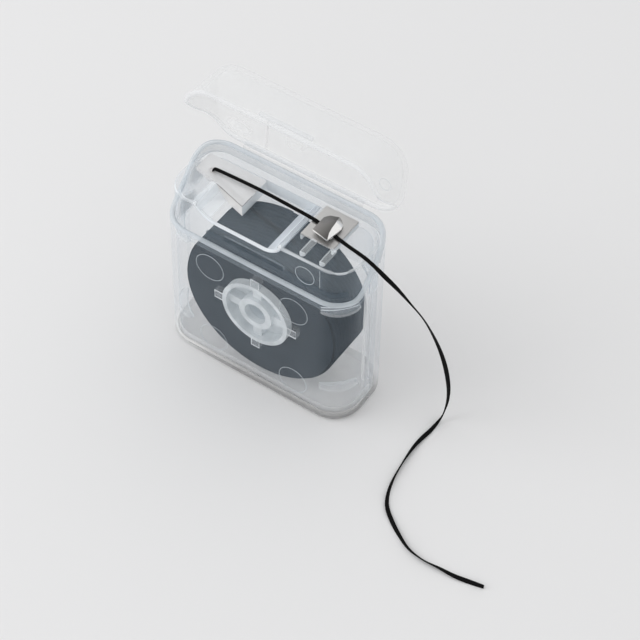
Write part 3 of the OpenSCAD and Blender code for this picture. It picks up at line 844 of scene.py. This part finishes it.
def cutter_zones(centre, normal):
    """1 on the tooth's broad face, in a darker copy of the steel, a painted shade, 2 on the ground face
    right of its ridge and on the thin front edge, in a lighter copy, a painted highlight, 0 elsewhere."""
    plate_top, tip_z = 43.64, 44.3
    ridge_along = [-4.05, -2.4, -1.0, 0.9, 3.2]
    ridge_across = [2.15, 1.45, 1.15, 0.8, 0.1]
    x, y, z = (centre - np.array([cutter_x, cutter_y, 0])).T
    tooth = (z > plate_top) & (normal[:, 2] > 0.3)
    ground = tooth & (x > np.interp(y, ridge_along, ridge_across))
    front = (z > tip_z) & (normal[:, 1] < -0.6)
    return np.select([front | ground, tooth], [2, 1])


cutter = merged_copy("cutter_plate", "cutter_with_tooth", [steel, steel_painted_shade, steel_painted_highlight], cutter_zones)
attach(cutter, "case")


def core_zones(centre, normal):
    """1 on the lugs outside the front of the core's ring, 0 elsewhere."""
    radius = np.hypot(centre[:, 0], centre[:, 2] - spool_z)
    return np.where((radius > core_r + 0.2) & (centre[:, 1] < 0), 1, 0)


def drawn_in(piece):
    """Moves the core's barrel in and its flange back by a hair, so that they don't lie in the wound
    floss's own faces."""
    hair, barrel_near, flange_near = 0.02, 0.02, 0.01
    mesh = piece.data
    points = points_of(mesh)
    x, z = points[:, 0], points[:, 2] - spool_z
    radius = np.hypot(x, z)
    barrel = np.abs(radius - core_r) < barrel_near
    flange = (radius > core_r - 0.5) & (np.abs(points[:, 1] - roll_y1) < flange_near)
    scale = np.where(barrel, (core_r - hair) / radius.clip(0.1), 1.0)
    points[:, 0], points[:, 2] = x * scale, z * scale + spool_z
    points[:, 1] += np.where(flange, hair, 0.0)
    put_points(mesh, points)


core = merged_copy("spool_core", "milky_spool_core", [milky, lug_clear], core_zones)
drawn_in(core)
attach(core, "spool")
# Outlines of the lugs' ends: they stand for the lugs' thin walls, drawn as painted highlight
lug_y = core_y0 + core_lip
lug_in, lug_out, lug_side = core_r - 0.3, lug_r - 0.05, lug_w / 2 - 0.05
lug_corners = [(lug_in, -lug_side), (lug_out, -lug_side), (lug_out, lug_side), (lug_in, lug_side)]
for number in range(4):
    turn = math.radians(90 * number)
    path = [(x * math.cos(turn) - z * math.sin(turn), lug_y,
             x * math.sin(turn) + z * math.cos(turn) + spool_z) for x, z in lug_corners]
    line = bead_line("lug_edge_" + str(number + 1), path, 0.12, painted_highlight_edge)
    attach(line, "spool")

for name, material in (("hinge_strip", lid_clear), ("floss_roll", wound_side)):
    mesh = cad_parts[name].data
    mesh.materials.clear()
    mesh.materials.append(material)


# Small mouldings of the lid, the floor and the seam

def on_lid(piece):
    """Piece made on the closed lid, turned with it to where the lid stands open."""
    put_points(piece.data, opened(points_of(piece.data)))
    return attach(piece, "lid")


def latch_bead():
    """Bead along the lid's front wall, inside: nearly half a circle that stands in from the wall."""
    bead_r, sink, foot, foot_half = 0.45, 0.15, 0.4, 0.44
    bead_y, bead_z = front_y + lid_wall, front_h + bead_up
    way = np.radians(np.linspace(-80, 80, 9))
    section = [(bead_y - sink + bead_r * math.cos(a), bead_z + bead_r * math.sin(a)) for a in way]
    section += [(bead_y - foot, bead_z + foot_half), (bead_y - foot, bead_z - foot_half)]
    return on_lid(prism("lid_latch_bead", section, 0, -bead_w / 2, bead_w / 2, lid_rim))


def hinge_leaf():
    """Leaf on the lid's back wall, just above the hinge strip's bead."""
    gap = 0.05
    low = hinge_z + hinge_r + gap
    start = back_y - lid_wall / 2 + gap
    section = [(start, low), (hinge_y, low), (hinge_y, low + leaf_h), (start, low + leaf_h)]
    return on_lid(prism("lid_hinge_leaf", section, 0, -hinge_w / 2, hinge_w / 2, lid_rim))


latch_bead()
hinge_leaf()

# Painted highlights in the lid's roof, and a light mould line: outline on the closed lid, strength, middle
# across the width and the depth, and reach across and up where the lid stands open
for name, outline, strength, x, y, wide, tall in (
        ("lid_painted_highlight", [(-19, 4.4), (-12, 4.4), (-12, 8), (-19, 8)], 0.75, -16, 6.1, 3.2, 1.6),
        ("lid_painted_highlight_line", [(-15, 1.6), (-9.4, 0.7), (-9.4, 1.3), (-15, 2.2)], 0.6, -12, 1.4, 3.2, 2.0),
        ("lid_mould_line", [(-9.75, 0.7), (-9.55, 0.7), (-9.5, 8.2), (-9.7, 8.2)], 0.6, -9.6, 3.2, 1, 6),
        ("lid_right_painted_highlight", [(-5.5, 2.4), (-0.5, 2.4), (-0.5, 5.6), (-5.5, 5.6)], 0.45, -3, 4, 2.4, 1.5)):
    middle = opened(np.array([[x, y, lid_top - 0.5]]))[0]
    patch = soft_patch(name, (0.97, 0.97, 0.97, 1), strength, middle, (wide, 2.5, tall))
    on_lid(prism(name, outline, 2, lid_top - 0.8, lid_top - 0.2, patch))
ring = circle((17.8, 2.4), 1.3, 32, lid_top - lid_roof, 2)
on_lid(bead_line("lid_pin_mark", ring, line_r, faint_edge, True))

# Painted highlight along the foot, and two light streaks of painted highlight on the right, the second at
# the seam of the halves
foot_run = stretch(case_plan, nearest(case_plan, -case_w / 2, -2.2), nearest(case_plan, case_w / 2, -2.2))
foot_path = np.insert(case_plan[0][foot_run] - 0.55 * case_plan[1][foot_run], 2, 1.7, axis=1)
on_case(bead_line("foot_painted_highlight", foot_path, 0.3, painted_foot_highlight))
streak_x0, streak_x1, streak_z = case_w / 2 - 0.8, case_w / 2 - 0.3, 3.0
for name, y, wide, strength in (("side_painted_highlight", -1.3, 0.32, 0.55), ("seam_painted_highlight", seam_y, 0.2, 0.7)):
    streak = soft_patch(name, (0.85, 0.86, 0.87, 1), strength, (22.0, y, 22.0), (4.0, 4.0, 19.0))
    section = [(streak_x0, y - wide / 2), (streak_x1, y - wide / 2), (streak_x1, y + wide / 2),
               (streak_x0, y + wide / 2)]
    on_case(prism(name, section, 2, streak_z, rim_height(y) - 1.2, streak))


# Floss

inside_route = [(5, -0.5, 37.38), (-0.5, 0.1, 38.2), (-6.2, 0.8, 39.1), (-11, 1.4, 40.2), (-14, 1.7, 41.05),
                (-15.4, 1.8, 41.55), (-15.95, 1.8, 42.3), (-16, 1.8, 43.1)]
deck_route = [(-16, 1.8, 43.65), (-15.3, 1.8, 43.88), (-14, 1.85, 43.92), (-10.5, 2, 43.92),
              (-6, 2.1, 43.92), (-1.5, 2.05, 43.92), (3, 1.9, 43.9), (7.4, 1.75, 43.84), (9.2, 1.5, 43.78),
              (11.3, 1, 43.78)]
rim_route = [(13.5, 0.4, 43.8), (16.4, -0.2, 43.8), (19.2, -0.7, 43.85), (21.4, -1, 43.7)]
tail_route = [(23.6, -1.2, 43), (26, -1.2, 41.6), (28.6, -1, 39.8), (31, -0.5, 37.2), (33.8, 0.6, 33),
              (35.8, 1.9, 27.5), (37.1, 3, 22.2), (37.9, 3.9, 17), (38.2, 4.8, 11.5), (38, 5.4, 7),
              (37.6, 5.5, 3.6), (37.3, 5, 1.4), (37.1, 3.6, 0.5), (37, 1, 0.46), (36.6, -2, 0.46),
              (36.5, -5, 0.46), (36.8, -8.8, 0.46), (37.4, -12.8, 0.46), (38.4, -16.4, 0.46),
              (40, -19.4, 0.46), (42.5, -21.7, 0.46), (45.6, -23.8, 0.46), (48.9, -25.5, 0.46),
              (52.5, -26.1, 0.46), (56, -25.9, 0.46), (59.4, -25.8, 0.46), (62.4, -25.3, 0.46),
              (65.3, -24.7, 0.46)]


def smooth_route(points, steps):
    """Smooth curve through the points: each span is a cubic that heads at its ends along the line between
    the neighbours on either side."""
    p = np.asarray(points, float)
    padded = np.concatenate([p[:1], p, p[-1:]])
    a, b, c, d = (row[:, None, :] for row in (padded[:-3], padded[1:-2], padded[2:-1], padded[3:]))
    t = (np.arange(steps) / steps)[None, :, None]
    square = (2 * a - 5 * b + 4 * c - d) * t * t
    curve = 0.5 * (2 * b + (c - a) * t + square + (3 * b - a - 3 * c + d) * t ** 3)
    return np.concatenate([curve.reshape(-1, 3), p[-1:]])


def carried_side(heading, first):
    """Side direction that is carried along the route without turning about it."""
    sides = [unit(first - (first @ heading[0]) * heading[0])]
    for way in heading[1:]:
        sides.append(unit(sides[-1] - (sides[-1] @ way) * way))
    return np.array(sides)


def thread_rings(points, wide, thick, across, outward):
    """Rings of a flat thread: at each point, the section's two measures along the two directions given
    there."""
    return (points[:, None] + wide[:, None] * (floss_w / 2 * across)[None, :, None]
            + thick[:, None] * (floss_t / 2 * outward)[None, :, None])


def tape(name, points, twist=0.0, sides=12):
    """Flat thread: an ellipse as wide as the floss and as thick, carried along the points and turned by
    the twist."""
    heading = unit(np.gradient(points, axis=0))
    side = carried_side(heading, np.array([0.0, 1.0, 0.0]))
    up = np.cross(heading, side)
    turn = np.radians(np.broadcast_to(twist, len(points)))[:, None]
    way = np.arange(sides) * 2 * np.pi / sides
    wide = side * np.cos(turn) + up * np.sin(turn)
    thick = up * np.cos(turn) - side * np.sin(turn)
    ring = thread_rings(points, wide, thick, np.cos(way), np.sin(way))
    return mesh_object(name, ring.reshape(-1, 3), tube_faces(len(points), sides), strand,
                       thread_crease)


# Steps from one point of a route to the next, as in the part's source
fine = 6
held = smooth_route(inside_route + deck_route + rim_route + tail_route, fine)
lead_end = fine * len(inside_route)
span_end = lead_end + fine * len(deck_route)
rim_end = span_end + fine * len(rim_route)

lead = tape("floss_inside", held[:lead_end + 1])
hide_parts("floss_lead")
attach(lead, "case")
span = tape("floss_on_deck", held[lead_end:span_end + 1])
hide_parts("floss_span")
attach(span, "case")

free = held[span_end:]
over_rim = rim_end - span_end
tail_share = np.clip((np.arange(len(free)) - over_rim) / (len(free) - 1 - over_rim), 0, 1)
tail = tape("floss_free", free, 180 * tail_twists * tail_share)
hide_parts("floss_over_rim", "floss_tail")
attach(tail, "case")


# Roll

def winding(turns, steps=72, sides=12):
    """Steady helix of flat thread about the spool's axis: as the angle grows evenly, so does the place on
    the axis. The turns lie close, and the section is a rounded box: powers below one of the cosine and
    sine square off the ellipse."""
    box_power, end_gap = 0.5, 0.1
    way = np.linspace(0, 2 * np.pi * turns, turns * steps + 1)
    out = np.stack([np.sin(way), 0 * way, np.cos(way)], 1)
    start, end = roll_y0 + floss_w / 2 + end_gap, roll_y1 - floss_w / 2 - end_gap
    place = out * (roll_r - floss_t / 2)
    place[:, 1] = np.linspace(start, end, len(way))
    place[:, 2] += spool_z
    along = np.arange(sides) * 2 * np.pi / sides
    across = np.sign(np.cos(along)) * np.abs(np.cos(along)) ** box_power
    outward = np.sign(np.sin(along)) * np.abs(np.sin(along)) ** box_power
    depth = np.broadcast_to([0.0, 1.0, 0.0], place.shape)
    ring = thread_rings(place, depth, out, across, outward)
    faces = tube_faces(len(way), sides, True)
    return mesh_object("floss_outer_layer", ring.reshape(-1, 3), faces, wound, thread_crease)


outer = winding(12)
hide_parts("floss_winding")
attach(outer, "spool")


# Stage

def pale_floor():
    """Large flat sheet whose colour is the photograph's background; mirrored and refracted rays see it
    too."""
    reach = 2500
    made = Finish("pale_floor", Base_Color=(0.79, 0.79, 0.795, 1), Roughness=0.9)
    corners = [(-reach, -reach, 0), (reach, -reach, 0), (reach, reach, 0), (-reach, reach, 0)]
    mesh_object("stage_floor", corners, [[0, 1, 2, 3]], made.material)


def soft_room(light):
    """Even white light from all round."""
    world = bpy.data.worlds.new("soft_room")
    bpy.context.scene.world = world
    world.use_nodes = True
    background = world.node_tree.nodes["Background"]
    background.inputs["Color"].default_value = (1, 1, 1, 1)
    background.inputs["Strength"].default_value = light


def soft_lamp(name, place, target, size, power):
    """Square lamp at a place, turned towards a target; places and size in metres."""
    data = bpy.data.lights.new(name, "AREA")
    data.size, data.energy = size, power
    lamp = bpy.data.objects.new(name, data)
    lamp.location = place
    way = np.array(target) - np.array(place)
    lamp.rotation_euler = Vector(way).to_track_quat("-Z", "Y").to_euler()
    bpy.context.scene.collection.objects.link(lamp)


def photo_camera():
    """Camera found by fitting the case's outline in the photograph: where it stands as an azimuth, an
    elevation and a distance in metres from a point above the case's foot, and in pixels its focal length
    and the image point that it looks along."""
    azimuth, elevation = math.radians(34.9478), math.radians(48.5375)
    distance, aim_z = 0.45, 0.022
    focal_px, centre_x_px, centre_y_px = 2261.22, 275.758, 283.266
    image_px, sensor = 640, 36.0
    back = np.array([math.sin(azimuth) * math.cos(elevation), -math.cos(azimuth) * math.cos(elevation),
                     math.sin(elevation)])
    right = np.array([math.cos(azimuth), math.sin(azimuth), 0.0])
    up = np.cross(back, right)
    data = bpy.data.cameras.new("photo_camera")
    data.sensor_width = sensor
    data.sensor_fit = "HORIZONTAL"
    data.lens = sensor * focal_px / image_px
    data.shift_x = (image_px / 2 - centre_x_px) / image_px
    data.shift_y = (centre_y_px - image_px / 2) / image_px
    data.clip_start = 0.01
    camera = bpy.data.objects.new("photo_camera", data)
    place = np.array([0, 0, aim_z]) + distance * back
    camera.matrix_world = Matrix([[right[k], up[k], back[k], place[k]] for k in range(3)] + [[0, 0, 0, 1]])
    bpy.context.scene.collection.objects.link(camera)
    bpy.context.scene.camera = camera


pale_floor()
soft_room(0.86)
soft_lamp("left_window", (-0.55, -0.38, 0.46), (0, 0, 0.02), 0.6, 1.9)
photo_camera()
bpy.context.scene.view_settings.view_transform = "Standard"

# Rays pass the many clear walls one behind another
bpy.context.scene.cycles.transparent_max_bounces = 40
